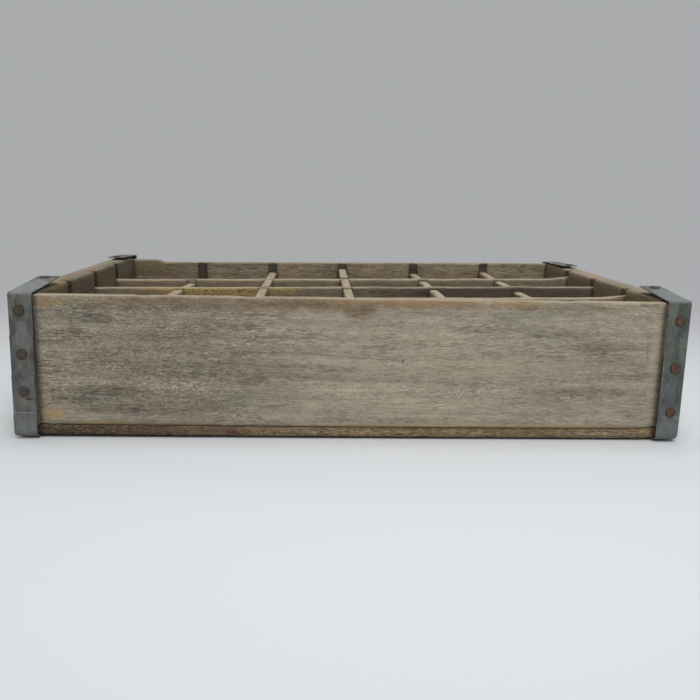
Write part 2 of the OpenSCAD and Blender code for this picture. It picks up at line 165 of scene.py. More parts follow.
class Finish:
    """A material in the making. Each method adds a node and gives back its output."""

    def __init__(self, name, roughness, metallic=0.0):
        self.material = bpy.data.materials.new(name)
        self.material.use_nodes = True
        self.nodes = self.material.node_tree.nodes
        self.links = self.material.node_tree.links
        self.shader = self.nodes["Principled BSDF"]
        self.shader.inputs["Roughness"].default_value = roughness
        self.shader.inputs["Metallic"].default_value = metallic
        self.here = self.scaled(self.add("ShaderNodeTexCoord").outputs["Object"], (1 / MM,) * 3)

    def add(self, kind, **settings):
        step = self.nodes.new(kind)
        for key, value in settings.items():
            setattr(step, key, value)
        return step

    def feed(self, socket, value):
        if isinstance(value, bpy.types.NodeSocket):
            self.links.new(value, socket)
        else:
            socket.default_value = value

    def maths(self, kind, first, second=0.0, clamp=False):
        step = self.add("ShaderNodeMath", operation=kind, use_clamp=clamp)
        self.feed(step.inputs[0], first)
        self.feed(step.inputs[1], second)
        return step.outputs[0]

    def vectors(self, kind, first, second=(0, 0, 0)):
        step = self.add("ShaderNodeVectorMath", operation=kind)
        self.feed(step.inputs[0], first)
        self.feed(step.inputs[1], second)
        return step.outputs["Value" if kind in ("LENGTH", "DOT_PRODUCT") else "Vector"]

    def scaled(self, place, factors):
        return self.vectors("MULTIPLY", place, factors)

    def noise(self, place, detail=2.0, roughness=0.5):
        step = self.add("ShaderNodeTexNoise")
        self.feed(step.inputs["Vector"], place)
        self.feed(step.inputs["Scale"], 1.0)
        self.feed(step.inputs["Detail"], detail)
        self.feed(step.inputs["Roughness"], roughness)
        return step.outputs[0]

    def ease(self, value, low, high, to_low=0.0, to_high=1.0):
        """Turns low to high into to_low to to_high, softly, and stops at both ends."""
        step = self.add("ShaderNodeMapRange", interpolation_type="SMOOTHSTEP")
        for socket, number in zip(("Value", "From Min", "From Max", "To Min", "To Max"),
                                  (value, low, high, to_low, to_high)):
            self.feed(step.inputs[socket], number)
        return step.outputs["Result"]

    def mix(self, amount, first, second, kind="MIX"):
        step = self.add("ShaderNodeMix", data_type="RGBA", blend_type=kind)
        self.feed(step.inputs[0], amount)
        self.feed(step.inputs[6], first)
        self.feed(step.inputs[7], second)
        return step.outputs[2]

    def times(self, *values):
        """All the values multiplied together."""
        product = values[0]
        for value in values[1:]:
            product = self.maths("MULTIPLY", product, value)
        return product

    def grey(self, value):
        """A number as a grey colour."""
        step = self.add("ShaderNodeCombineColor")
        for socket in step.inputs[:3]:
            self.feed(socket, value)
        return step.outputs[0]

    def stored(self, name):
        """A number that the mesh holds for each of its points."""
        return self.add("ShaderNodeAttribute", attribute_name=name).outputs["Fac"]

    def spot(self, centre, half_size, ragged=0.5, soft=0.5):
        """1 inside a ragged oval round a place in mm, and 0 outside it."""
        away = self.vectors("SUBTRACT", self.here, centre)
        away = self.scaled(away, tuple(1 / half for half in half_size))
        reach = self.vectors("LENGTH", away)
        reach = self.maths("ADD", reach, self.times(self.ragged, ragged))
        return self.ease(reach, 1.0, 1.0 - soft)

    def scratch(self, start, end, half_width):
        """1 on a thin line between two places in mm, and 0 beside it."""
        line = Vector(end) - Vector(start)
        away = self.vectors("SUBTRACT", self.here, start)
        share = self.vectors("DOT_PRODUCT", away, tuple(line / line.length_squared))
        share = self.maths("MAXIMUM", self.maths("MINIMUM", share, 1.0), 0.0)
        nearest = self.add("ShaderNodeVectorMath", operation="SCALE")
        nearest.inputs[0].default_value = line
        self.feed(nearest.inputs["Scale"], share)
        apart = self.vectors("LENGTH", self.vectors("SUBTRACT", away, nearest.outputs["Vector"]))
        return self.ease(apart, half_width, half_width * 0.4)

    def close(self, colour, roughness, height, bump_mm):
        self.feed(self.shader.inputs["Base Color"], colour)
        self.feed(self.shader.inputs["Roughness"], roughness)
        bump = self.add("ShaderNodeBump")
        bump.inputs["Distance"].default_value = bump_mm * MM
        self.feed(bump.inputs["Height"], height)
        self.feed(self.shader.inputs["Normal"], bump.outputs["Normal"])
        return self.material


print("a pale tone in linear light:", [round(value, 3) for value in tone(208, 212, 213)])

# %% [markdown]
# ## Floor, light and surroundings
#
# The crate stands on a pale studio floor. Far away the floor turns into the plain grey of the backdrop. A real studio
# bends its paper upwards for that. Here the far floor simply shows the backdrop's own colour to the camera, so no
# line is seen where the floor ends. Near the crate the paper is an ordinary dull surface, and so it takes shadows.

# %% Floor
BACKDROP = tone(169, 171, 173)
FLOOR_RADIUS = 14.0
FLOOR_GAP = 1.3
floor_mesh = bpy.data.meshes.new("studio_floor")
around = [2 * math.pi * step / 96 for step in range(96)]
rim = [(FLOOR_RADIUS * math.cos(angle), FLOOR_RADIUS * math.sin(angle), 0) for angle in around]
floor_mesh.from_pydata(rim, [], [tuple(range(len(rim)))])
floor = bpy.data.objects.new("studio_floor", floor_mesh)
floor.location.z = cad_low.z - FLOOR_GAP * MM
bpy.context.scene.collection.objects.link(floor)

paper = Finish("floor_paper", 0.9)
paper.shader.inputs["Specular IOR Level"].default_value = 0.1
from_crate = paper.vectors("LENGTH", paper.vectors("SUBTRACT", paper.here, (25, -90, 0)))
# The paper is painted paler near the crate and greyer further out: a painted falloff of light.
near_to_far = paper.ease(from_crate, 150, 800)
paper_colour = paper.mix(near_to_far, tone(196, 199, 202), tone(170, 172, 175))
paper_fibres = paper.noise(paper.scaled(paper.here, (0.5, 0.5, 0.5)), 3)
floor_mesh.materials.append(paper.close(paper_colour, 0.9, paper_fibres, 0.02))
backdrop = paper.add("ShaderNodeEmission")
backdrop.inputs["Color"].default_value = BACKDROP
paper_ray = paper.add("ShaderNodeLightPath").outputs
seen = paper.maths("MAXIMUM", paper_ray["Is Camera Ray"], paper_ray["Is Glossy Ray"])
seen = paper.maths("MAXIMUM", seen, paper_ray["Is Transmission Ray"])
seen_far_off = paper.times(seen, paper.ease(from_crate, 320, 1300))
floor_or_backdrop = paper.add("ShaderNodeMixShader")
paper.feed(floor_or_backdrop.inputs[0], seen_far_off)
paper.feed(floor_or_backdrop.inputs[1], paper.shader.outputs[0])
paper.feed(floor_or_backdrop.inputs[2], backdrop.outputs[0])
paper.feed(paper.nodes["Material Output"].inputs["Surface"], floor_or_backdrop.outputs[0])

# %% [markdown]
# The light is soft: one wide lamp in front and above, one straight overhead, a weak one behind, and an even glow
# from all round. A wide lamp gives soft shadows, as a cloth in front of a studio lamp does, and the one overhead
# gives the crate a shadow at its foot. The lamps are kept at a level at which a colour looks about as it is written.

# %% Lamps and glow
def soft_lamp(name, place, aim, width, power):
    lamp_data = bpy.data.lights.new(name, "AREA")
    lamp_data.shape = "SQUARE"
    lamp_data.size = width
    lamp_data.energy = power
    lamp = bpy.data.objects.new(name, lamp_data)
    lamp.location = place
    lamp.rotation_euler = (Vector(aim) - Vector(place)).to_track_quat("-Z", "Y").to_euler()
    bpy.context.scene.collection.objects.link(lamp)
    return lamp


soft_lamp("front_softbox", (0.1, -1.25, 1.6), (0, 0, 0.05), 1.3, 29)
soft_lamp("overhead_softbox", (0.05, 0.12, 1.9), (0, 0, 0.05), 0.7, 9)
soft_lamp("back_softbox", (0.2, 1.4, 1.4), (0, 0, 0.05), 1.2, 5)

world = bpy.data.worlds.new("studio")
world.use_nodes = True
world_nodes = world.node_tree.nodes
glow = world_nodes["Background"]
glow.inputs["Color"].default_value = (1, 1, 1, 1)
glow.inputs["Strength"].default_value = 0.5
plain_grey = world_nodes.new("ShaderNodeBackground")
plain_grey.inputs["Color"].default_value = BACKDROP
by_ray = world_nodes.new("ShaderNodeMixShader")
ray = world_nodes.new("ShaderNodeLightPath")
either = world_nodes.new("ShaderNodeMath")
either.operation = "MAXIMUM"
any_of_three = world_nodes.new("ShaderNodeMath")
any_of_three.operation = "MAXIMUM"
world.node_tree.links.new(ray.outputs["Is Camera Ray"], either.inputs[0])
world.node_tree.links.new(ray.outputs["Is Glossy Ray"], either.inputs[1])
world.node_tree.links.new(either.outputs[0], any_of_three.inputs[0])
world.node_tree.links.new(ray.outputs["Is Transmission Ray"], any_of_three.inputs[1])
world.node_tree.links.new(any_of_three.outputs[0], by_ray.inputs[0])
world.node_tree.links.new(glow.outputs[0], by_ray.inputs[1])
world.node_tree.links.new(plain_grey.outputs[0], by_ray.inputs[2])
world.node_tree.links.new(by_ray.outputs[0], world_nodes["World Output"].inputs["Surface"])
bpy.context.scene.world = world
bpy.context.scene.view_settings.view_transform = "Standard"

# %% [markdown]
# ## An even skin for each worn piece
#
# To wear a board down, its surface needs many small faces of about one size. The CAD mesh has a few long ones. A
# bevel and a subdivision could split them, but the grooves and slots would upset both. A voxel remesh gives the same
# fine skin to any closed shape, so each worn piece starts as a remeshed copy of its CAD node.

# %% Give a piece an even skin
def fresh_skin(name, node, cell):
    """A copy of a CAD node, remade as small faces of about one cell each."""
    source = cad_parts[node]
    rough = bpy.data.objects.new(name, source.data.copy())
    bpy.context.scene.collection.objects.link(rough)
    remesh = rough.modifiers.new("skin", "REMESH")
    remesh.mode = "VOXEL"
    remesh.voxel_size = cell
    graph = bpy.context.evaluated_depsgraph_get()
    skin = bpy.data.meshes.new_from_object(rough.evaluated_get(graph))
    rough.modifiers.clear()
    rough.data = skin
    rough.data.materials.clear()
    return rough


def mesh_points(mesh):
    points = np.empty(len(mesh.vertices) * 3)
    mesh.vertices.foreach_get("co", points)
    return points.reshape(-1, 3)


def mesh_normals(mesh):
    normals = np.empty(len(mesh.vertices) * 3, np.float32)
    mesh.vertex_normals.foreach_get("vector", normals)
    return normals.reshape(-1, 3).astype(float)


def mesh_edges(mesh):
    edges = np.empty(len(mesh.edges) * 2, np.int32)
    mesh.edges.foreach_get("vertices", edges)
    return edges.reshape(-1, 2)


def eased(points, edges, rounds):
    """Moves each point towards the middle of its neighbours, round after round."""
    count = np.bincount(edges.ravel(), minlength=len(points))[:, None]
    for _ in range(rounds):
        middle = np.zeros_like(points)
        for axis in range(3):
            middle[:, axis] = (np.bincount(edges[:, 0], points[edges[:, 1], axis], len(points))
                               + np.bincount(edges[:, 1], points[edges[:, 0], axis], len(points)))
        points = points + 0.5 * (middle / count - points)
    return points


def keep_measures(mesh, measures):
    """Stores a number for each point, for the finish to read."""
    for label, values in measures.items():
        layer = mesh.attributes.new(label, "FLOAT", "POINT")
        layer.data.foreach_set("value", values.astype(np.float32))


# %% [markdown]
# ## Where wear, dirt and painted shade go
#
# Hands and bottles rub the top edges of a board pale and smooth. Dirt gathers where nothing rubs: in grooves and
# slots, and along the seams between boards. Shade falls in these places too, and the finish darkens them as dirt and
# as painted shade. The finish can't know such places by itself, so they are measured here for every point of a board
# and stored in its mesh. Ray tracing could find them too, but these simple distances are quicker and have no noise.

# %% Measure the places of wear, dirt and painted shade
BOARDS = {
    "side_board_front": ("X", "Y", "side_wood", 1.2),
    "side_board_back": ("X", "Y", "side_wood", 1.3),
    "end_board_left": ("Y", "X", "end_wood", 1.3),
    "end_board_right": ("Y", "X", "end_wood", 1.3),
    "bottom_slat_1": ("X", "Z", "slat_wood", 1.3),
    "bottom_slat_2": ("X", "Z", "slat_wood", 1.6),
    "bottom_slat_3": ("X", "Z", "slat_wood", 1.6),
    "bottom_slat_4": ("X", "Z", "slat_wood", 1.6),
    "long_divider_front": ("X", "Y", "divider_wood", 1.2),
    "long_divider_middle": ("X", "Y", "divider_wood", 1.2),
    "long_divider_back": ("X", "Y", "divider_wood", 1.2),
    "cross_divider_1": ("Y", "X", "divider_wood", 1.2),
    "cross_divider_2": ("Y", "X", "divider_wood", 1.2),
    "cross_divider_3": ("Y", "X", "divider_wood", 1.2),
    "cross_divider_4": ("Y", "X", "divider_wood", 1.2),
    "cross_divider_5": ("Y", "X", "divider_wood", 1.2),
}
BOXES = {node: np.array(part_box(node)) / MM for node in BOARDS}
HAND_HOLE_REACH = 52
HAND_HOLE_MIDDLE = 62.5
HAND_HOLE_TOP = 77


def near_top(points, along, reach):
    """1 at the top edge of a board, falling to 0 at some reach below it, wherever the top is."""
    bins = np.floor(points[:, along] / 4).astype(int)
    bins -= bins.min()
    top = np.full(bins.max() + 1, -np.inf)
    np.maximum.at(top, bins, points[:, 2])
    return np.clip(1 - (top[bins] - points[:, 2]) / reach, 0, 1)


def in_groove(points, normals, node, along, across):
    """1 on the walls of the grooves and slots of a board, 0 on its own faces."""
    low, high = BOXES[node]
    depth = np.minimum(points[:, across] - low[across], high[across] - points[:, across])
    to_end = np.minimum(points[:, along] - low[along], high[along] - points[:, along])
    if node.startswith("side_board"):
        depth = np.minimum(depth, high[across] - points[:, across] if node.endswith("front")
                           else points[:, across] - low[across])
    least_depth = 0.35 if node.startswith("end_board") else 0.7
    groove = (depth > least_depth) & (np.abs(normals[:, 2]) < 0.5) & (to_end > 1.5)
    if node.startswith("end_board"):
        from_hole = np.hypot(points[:, 1], points[:, 2] - HAND_HOLE_MIDDLE)
        groove &= (from_hole > HAND_HOLE_REACH) | (points[:, 2] > HAND_HOLE_TOP)
    if across == 2:
        groove &= False
    return groove.astype(float)


def near_seam(points, node, left_out=(), reach=1.4):
    """1 where a board touches another, falling off within a few mm."""
    closest = np.full(len(points), np.inf)
    for other, (low, high) in BOXES.items():
        if other != node and not other.startswith(left_out):
            away = np.linalg.norm(np.maximum(np.maximum(low - points, points - high), 0), axis=1)
            within = np.minimum(points - low, high - points)[:, :2].min(axis=1)
            closest = np.minimum(closest, away + np.where(away == 0, np.maximum(within, 0), 0))
    return np.exp(-closest / reach)


print("boards to wear:", len(BOARDS))

# %% [markdown]
# ## Worn boards
#
# A real board has no sharp edges and no flat faces after years of use. Its edges are rounded, chips are missing from
# its corners, its top is a little scooped, and its soft grain has sunk below the hard grain. Here the edges of the
# even skin are eased by different amounts from place to place, and its faces are lowered along the grain. Wood is
# only taken away, so no board grows past its CAD size.

# %% Wear a board down
def sag_at(x):
    """How far the front of the floor hangs down between the straps, in mm."""
    bow = np.clip(1 - ((x - 70) / 290) ** 2, 0, 1)
    return 0.97 * bow * np.clip((214 - np.abs(x)) / 8, 0, 1)


def wear_board(node, seed, easing=3, relief=0.2, chips=0.8, scoops=0.4):
    """Makes a worn board in the place of a CAD node. Lengths are mm."""
    grain, thickness, slot, cell = BOARDS[node]
    along, across = "XYZ".index(grain), "XYZ".index(thickness)
    board = fresh_skin(f"{node}_worn", node, cell * MM)
    mesh = board.data
    points = mesh_points(mesh) / MM
    normals = mesh_normals(mesh)
    stretch = np.ones(3)
    stretch[along] = 0.09

    worn = eased(points, mesh_edges(mesh), easing)
    inward = -np.einsum("ij,ij->i", worn - points, normals)
    outer_edge = np.clip(inward / 0.35, 0, 1)
    groove = in_groove(points, normals, node, along, across)
    top = near_top(points, along, 1.0 if node.startswith("side_board") else 1.6) * (1 - groove)
    patchy = np.clip(0.7 + 0.7 * layered_noise(points / 22, seed), 0.15, 1.3)
    touching = near_seam(points, node)
    still_sharp = 0.8 * (points[:, 2] < 3.5) * (node == "bottom_slat_1")
    shape = points + (worn - points) * (patchy * (1 - touching) * (1 - still_sharp))[:, None]

    hills = layered_noise(points * stretch / 5.5 + seed, seed + 11, 3)
    fine_hills = layered_noise(points * stretch / 2.6 + seed, seed + 17, 2)
    sunk = relief * np.clip(0.5 + 0.6 * hills + 0.35 * fine_hills, 0, 1.4)
    bites = np.clip((layered_noise(points / 6.5, seed + 23) - 0.36) / 0.3, 0, 1)
    shape = shape - normals * (sunk * (1 - 0.6 * touching) + chips * bites * outer_edge)[:, None]
    along_only = points * np.eye(3)[along]
    scoop = np.clip(0.45 + 0.75 * layered_noise(along_only / 24 + seed, seed + 31, 3), 0, 1.3)
    shape[:, 2] -= scoops * scoop * near_top(points, along, 9)
    if node == "bottom_slat_1":
        shape[:, 2] -= sag_at(points[:, 0])
    if node == "side_board_front":
        shape[:, 2] -= sag_at(points[:, 0]) * np.clip((40 - points[:, 2]) / 30, 0, 1)

    # Nearness to other boards, later darkened both as dirt and as painted shade along the seams.
    others = "bottom_slat" if node.startswith("side_board") else "side_board" if across == 2 else "none"
    is_divider = "divider" in node
    seam_dirt_and_shade = near_seam(points, node, (others,), 0.9 if is_divider else 1.4) + 0.3 * touching * (across == 2)
    mesh.vertices.foreach_set("co", (shape * MM).ravel().astype(np.float32))
    mesh.update()
    keep_measures(mesh, {
        "edge": outer_edge * (1 - touching),
        "hollow": np.clip(-inward / 0.35, 0, 1),
        "top": top,
        "groove": groove,
        "seam": np.clip(seam_dirt_and_shade, 0, 1) * (1 - (0.2 if is_divider else 0.7) * top),
    })
    mesh.shade_smooth()
    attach(board, "root")
    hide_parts(node)
    print(f"{board.name}: {len(mesh.vertices)} points, most taken off {np.abs(shape - points).max():.1f} mm")
    return board


SCOOPS = {"side_board_front": 0.1, "side_board_back": 0.1, "end_board_left": 0.25, "end_board_right": 0}
boards = {}
for number, node in enumerate(BOARDS):
    if node.startswith("bottom_slat"):
        boards[node] = wear_board(node, 100 + 40 * number, chips=1.9, scoops=0)
    else:
        boards[node] = wear_board(node, 100 + 40 * number, scoops=SCOOPS.get(node, 0.4))

# %% [markdown]
# ## Weathered wood
#
# The wood is bare and grey-brown. Close up it has several scales: broad bands from the growth rings, fine fibres
# along the grain, short dark flecks where dirt sits in the pores, and small pale patches where fibres have lifted.
# Each scale is a noise that is stretched along the grain. Each board gets its own place in the noise, so that no
# two boards have the same grain.

# %% The scales of the grain
def grain_scales(wood, grain, seed):
    """Noises for one board, each long along the grain. Sizes are mm."""
    here = wood.vectors("ADD", wood.here, (seed * 37.7, seed * 71.3, seed * 13.9))
    wood.ragged = wood.maths("SUBTRACT", wood.noise(wood.scaled(here, (0.11,) * 3), 4, 0.6), 0.5)
    slow = wood.add("ShaderNodeTexNoise")
    wood.feed(slow.inputs["Vector"], wood.scaled(here, (0.006,) * 3))
    wood.feed(slow.inputs["Scale"], 1.0)
    drifting = wood.vectors("ADD", here, wood.scaled(slow.outputs["Color"], (9, 9, 9)))

    def long_noise(length, width, detail=3, roughness=0.55):
        sizes = [1 / width] * 3
        sizes["XYZ".index(grain)] = 1 / length
        return wood.noise(wood.scaled(drifting, tuple(sizes)), detail, roughness)

    return {
        "rings": long_noise(300, 7),
        "streaks": long_noise(50, 1.9, 3, 0.65),
        "fibres": long_noise(4.8, 0.75, 3, 0.7),
        "grit": long_noise(2.2, 0.9, 3, 0.75),
        "patches": long_noise(48, 11, 4, 0.6),
        "pores": long_noise(6.5, 0.95, 3, 0.65),
        "lifted": long_noise(3.6, 0.85, 3, 0.65),
        "lifted_patches": long_noise(48, 12, 3),
        "tints": long_noise(60, 22, 2),
        "tears": long_noise(8, 1.3, 4, 0.7),
        "mottle": long_noise(13, 4.2, 3, 0.6),
    }


# %% [markdown]
# The colour starts from a middle tone. Rings and streaks shade it, flecks darken it and lifted fibres lighten it, and
# a faint green or pink lies over parts of it, as on all wood that has stood outdoors. Then come the marks that belong
# to one board alone. Last come the measures of wear and shade: pale rubbed tops, and dark grooves, hollows and seams,
# which are dirt and painted shade.

# %% Wood finish
# One dark tone for dirt and for painted shade.
DIRT_AND_SHADE = tone(32, 25, 18)


def weathered_wood(name, grain, seed, look, marks=None, top_tint=None):
    """A finish for one board. The look gives its tones and how strong each sign of age is."""
    wood = Finish(name, 0.85)
    scale = grain_scales(wood, grain, seed)
    colour = wood.mix(wood.ease(scale["rings"], 0.3, 0.7), look["mid"], look["pale"])
    shade = wood.times(wood.ease(scale["streaks"], 0.28, 0.72, 0.86, 1.1),
                       wood.ease(scale["fibres"], 0.3, 0.7, 0.83, 1.12),
                       wood.ease(scale["mottle"], 0.32, 0.68, 0.89, 1.1),
                       wood.ease(scale["grit"], 0.3, 0.7, 1 - look["grit"], 1 + look["grit"]))
    colour = wood.mix(1.0, colour, wood.grey(shade), "MULTIPLY")
    colour = wood.mix(wood.ease(scale["tints"], 0.55, 0.7, 0, 0.14), colour, tone(112, 128, 112))
    colour = wood.mix(wood.ease(scale["tints"], 0.45, 0.3, 0, 0.1), colour, tone(152, 126, 106))
    crowding = wood.ease(scale["patches"], 0.34, 0.68, 0.0, look["flecks"])
    flecks = wood.ease(wood.maths("ADD", scale["pores"], crowding), 0.58, 0.78)
    colour = wood.mix(wood.times(flecks, 0.5), colour, look["dark"])
    lifted = wood.times(wood.ease(scale["lifted"], 0.56, 0.74), wood.ease(scale["lifted_patches"], 0.4, 0.62, 0.3, 1))
    colour = wood.mix(wood.times(lifted, 0.4), colour, tone(186, 176, 156))
    if marks:
        colour = marks(wood, colour, scale)
    rubbed = wood.times(wood.stored("top"), wood.ease(scale["streaks"], 0.34, 0.6, 0.2, 1), look["rubbed"])
    colour = wood.mix(rubbed, colour, look["top"])
    if top_tint:
        colour = top_tint(wood, colour)
    # Dark edges away from the top are dirt. Seams, grooves and hollows are darkened both as dirt and as painted shade.
    edge_dirt = wood.times(wood.stored("edge"), wood.maths("SUBTRACT", 1.0, wood.stored("top")), 0.35)
    dirt_and_shade = wood.maths("MAXIMUM", edge_dirt, wood.times(wood.stored("seam"), 0.85))
    groove_dirt_and_shade = wood.times(wood.stored("groove"), wood.ease(scale["mottle"], 0.35, 0.65, 0.8, 1), look["groove"])
    dirt_and_shade = wood.maths("MAXIMUM", dirt_and_shade, groove_dirt_and_shade)
    dirt_and_shade = wood.maths("MAXIMUM", dirt_and_shade, wood.times(wood.stored("hollow"), 0.8))
    colour = wood.mix(dirt_and_shade, colour, DIRT_AND_SHADE)
    height = wood.maths("SUBTRACT", wood.maths("ADD", scale["fibres"], wood.times(scale["pores"], 0.5)), flecks)
    return wood.close(colour, wood.ease(scale["fibres"], 0.3, 0.7, 0.95, 0.78), height, 0.22)


# %% [markdown]
# ## Marks on the front board
#
# The front board is what one sees first, so it gets its own marks: a brown band along the top, stains, darker and
# lighter fields, a knot, a long fine crack and a few scratches. Each is a ragged oval or a thin line at its own
# place on the board. Painting a picture would be quicker, but ovals and lines stay sharp at any size.

# %% Marks of the front board
FRONT_Y = -148


def stain(wood, colour, spots, stain_tone, scale=None):
    """Adds ragged ovals of one tone. Each spot is x, z, half length, half height and strength."""
    for x, z, half_length, half_height, strength in spots:
        shape = wood.spot((x, FRONT_Y, z), (half_length, 30, half_height), ragged=0.9, soft=0.75)
        if scale:
            shape = wood.times(shape, wood.ease(scale["streaks"], 0.34, 0.6, 0.55, 1.1),
                               wood.ease(scale["fibres"], 0.34, 0.66, 1.15, 0.65))
        colour = wood.mix(wood.times(shape, strength), colour, stain_tone)
    return colour


def front_marks(wood, colour, scale):
    rough = wood.spot((-150, FRONT_Y, 52), (120, 30, 80), ragged=0.5, soft=0.9)
    coarse = wood.times(wood.ease(scale["grit"], 0.32, 0.68, 0.46, 1.54), wood.ease(scale["pores"], 0.3, 0.7, 1.12, 0.8))
    here_and_there = wood.ease(scale["patches"], 0.36, 0.62, 0.35, 1)
    colour = wood.mix(wood.times(rough, here_and_there), colour,
                      wood.mix(1.0, colour, wood.grey(coarse), "MULTIPLY"))
    torn = wood.times(wood.ease(scale["tears"], 0.55, 0.64), here_and_there,
                      wood.maths("ADD", wood.times(rough, 0.45), 0.3))
    colour = wood.mix(torn, colour, tone(62, 54, 45))
    split = wood.times(wood.ease(scale["tears"], 0.45, 0.36), wood.maths("ADD", wood.times(rough, 0.15), 0.2))
    colour = wood.mix(split, colour, tone(172, 162, 144))
    colour = stain(wood, colour, [(-130, 50, 110, 60, 0.42), (-150, 18, 90, 16, 0.25)], tone(98, 90, 78))
    colour = stain(wood, colour, [(60, 52, 120, 14, 0.35), (10, 33, 150, 9, 0.3), (60, 20, 160, 12, 0.3)],
                   tone(168, 157, 136))
    colour = stain(wood, colour, [(-20, 95, 90, 6, 0.55), (60, 96, 70, 5, 0.5), (-130, 96, 90, 4, 0.4)],
                   tone(126, 102, 70))
    colour = stain(wood, colour, [(-110, 94.5, 140, 6.5, 0.7), (-20, 94, 70, 6.5, 0.4), (3, 89, 17, 7.5, 0.75),
                                  (60, 95, 60, 5, 0.3), (150, 94.5, 70, 5, 0.5)], tone(90, 71, 44), scale)
    colour = stain(wood, colour, [(51, 97, 40, 3.4, 0.8), (-208, 94, 15, 4, 0.85), (-5, 97, 26, 2.4, 0.6)],
                   tone(140, 112, 74), scale)
    colour = stain(wood, colour, [(113, 97, 26, 3, 0.8), (-208, 16, 13, 6, 0.75), (-178, 10, 30, 2, 0.75),
                                  (150, 9.2, 60, 1.6, 0.7), (60, 8.8, 90, 1.4, 0.7)], tone(146, 122, 76), scale)
    colour = stain(wood, colour, [(70, 8.6, 170, 3.6, 0.75)], tone(152, 136, 104))
    colour = stain(wood, colour, [(-165, 8.6, 60, 3.6, 0.7)], tone(122, 106, 78))
    colour = stain(wood, colour, [(190, 99, 42, 3, 0.5), (212, 60, 6, 50, 0.35)], tone(168, 156, 134))
    colour = stain(wood, colour, [(119, 87, 40, 5, 0.35), (-20, 82, 30, 7, 0.2), (-75, 28, 26, 8, 0.2)],
                   tone(112, 122, 98))
    dark_fields = [(-181, 83, 28, 7, 0.6), (-193, 74, 16, 5, 0.55), (-168, 33, 36, 5, 0.75), (-190, 26, 26, 4, 0.7),
                   (-67, 41, 30, 5, 0.35), (-17, 50, 30, 4, 0.35), (136, 74, 30, 4.5, 0.5), (176, 64, 30, 10, 0.5),
                   (160, 34, 50, 6, 0.42), (-100, 79, 44, 5, 0.5), (15, 66, 24, 3.5, 0.35), (-150, 19, 50, 5, 0.6),
                   (205, 97, 14, 2.5, 0.5)]
    for x, z, half_length, half_height, strength in dark_fields:
        shape = wood.spot((x, FRONT_Y, z), (half_length, 30, half_height), ragged=0.9, soft=0.75)
        speckled = wood.ease(scale["pores"], 0.4, 0.6, 0.3, 1.0)
        colour = wood.mix(wood.times(shape, speckled, strength), colour, tone(66, 57, 48))
    chalky = [(-120, 36, 60, 9, 0.6), (30, 33, 90, 7, 0.55), (95, 33, 40, 9, 0.4), (205, 88, 22, 9, 0.45),
              (-60, 72, 50, 12, 0.3)]
    for x, z, half_length, half_height, strength in chalky:
        shape = wood.spot((x, FRONT_Y, z), (half_length, 30, half_height), ragged=0.9, soft=0.75)
        flaked = wood.ease(scale["grit"], 0.52, 0.68)
        colour = wood.mix(wood.times(shape, flaked, strength), colour, tone(204, 195, 176))
    lines = [((-85, 60.7), (-38, 61.2), 0.5, 0.35), ((-38, 61.2), (7, 57.4), 0.5, 0.4),
             ((7, 57.4), (31.5, 56.2), 0.5, 0.35), ((-22, 78), (-25, 74), 0.7, 0.5), ((205, 75), (206, 66), 0.6, 0.25),
             ((206, 66), (207, 57), 0.8, 0.4), ((33.2, 55), (34, 56.2), 0.9, 0.9), ((-27, 98), (-21, 91), 0.6, 0.4),
             ((-23, 97), (-19, 92), 0.6, 0.35), ((-29, 94), (-21, 96), 0.5, 0.3), ((206, 98), (211, 95), 0.6, 0.5), ((200, 93), (212, 91), 0.5, 0.4)]
    for (x0, z0), (x1, z1), half_width, strength in lines:
        cut = wood.scratch((x0, FRONT_Y, z0), (x1, FRONT_Y, z1), half_width)
        colour = wood.mix(wood.times(cut, strength, 0.8), colour, tone(52, 42, 34))
    return colour


# %% [markdown]
# ## Marks on the other boards
#
# The front slat is seen edge on. It is darker than the board above it, with rusty and yellow flecks; its top edge
# under the board and its foot get painted shade. The two end boards show a dark strip beside their straps at the
# front, which is painted shade in the gap between strap and board, and their inner faces get painted shade too. The
# dividers are darker inside the crate than along their rubbed tops, partly as stain and partly as painted shade.

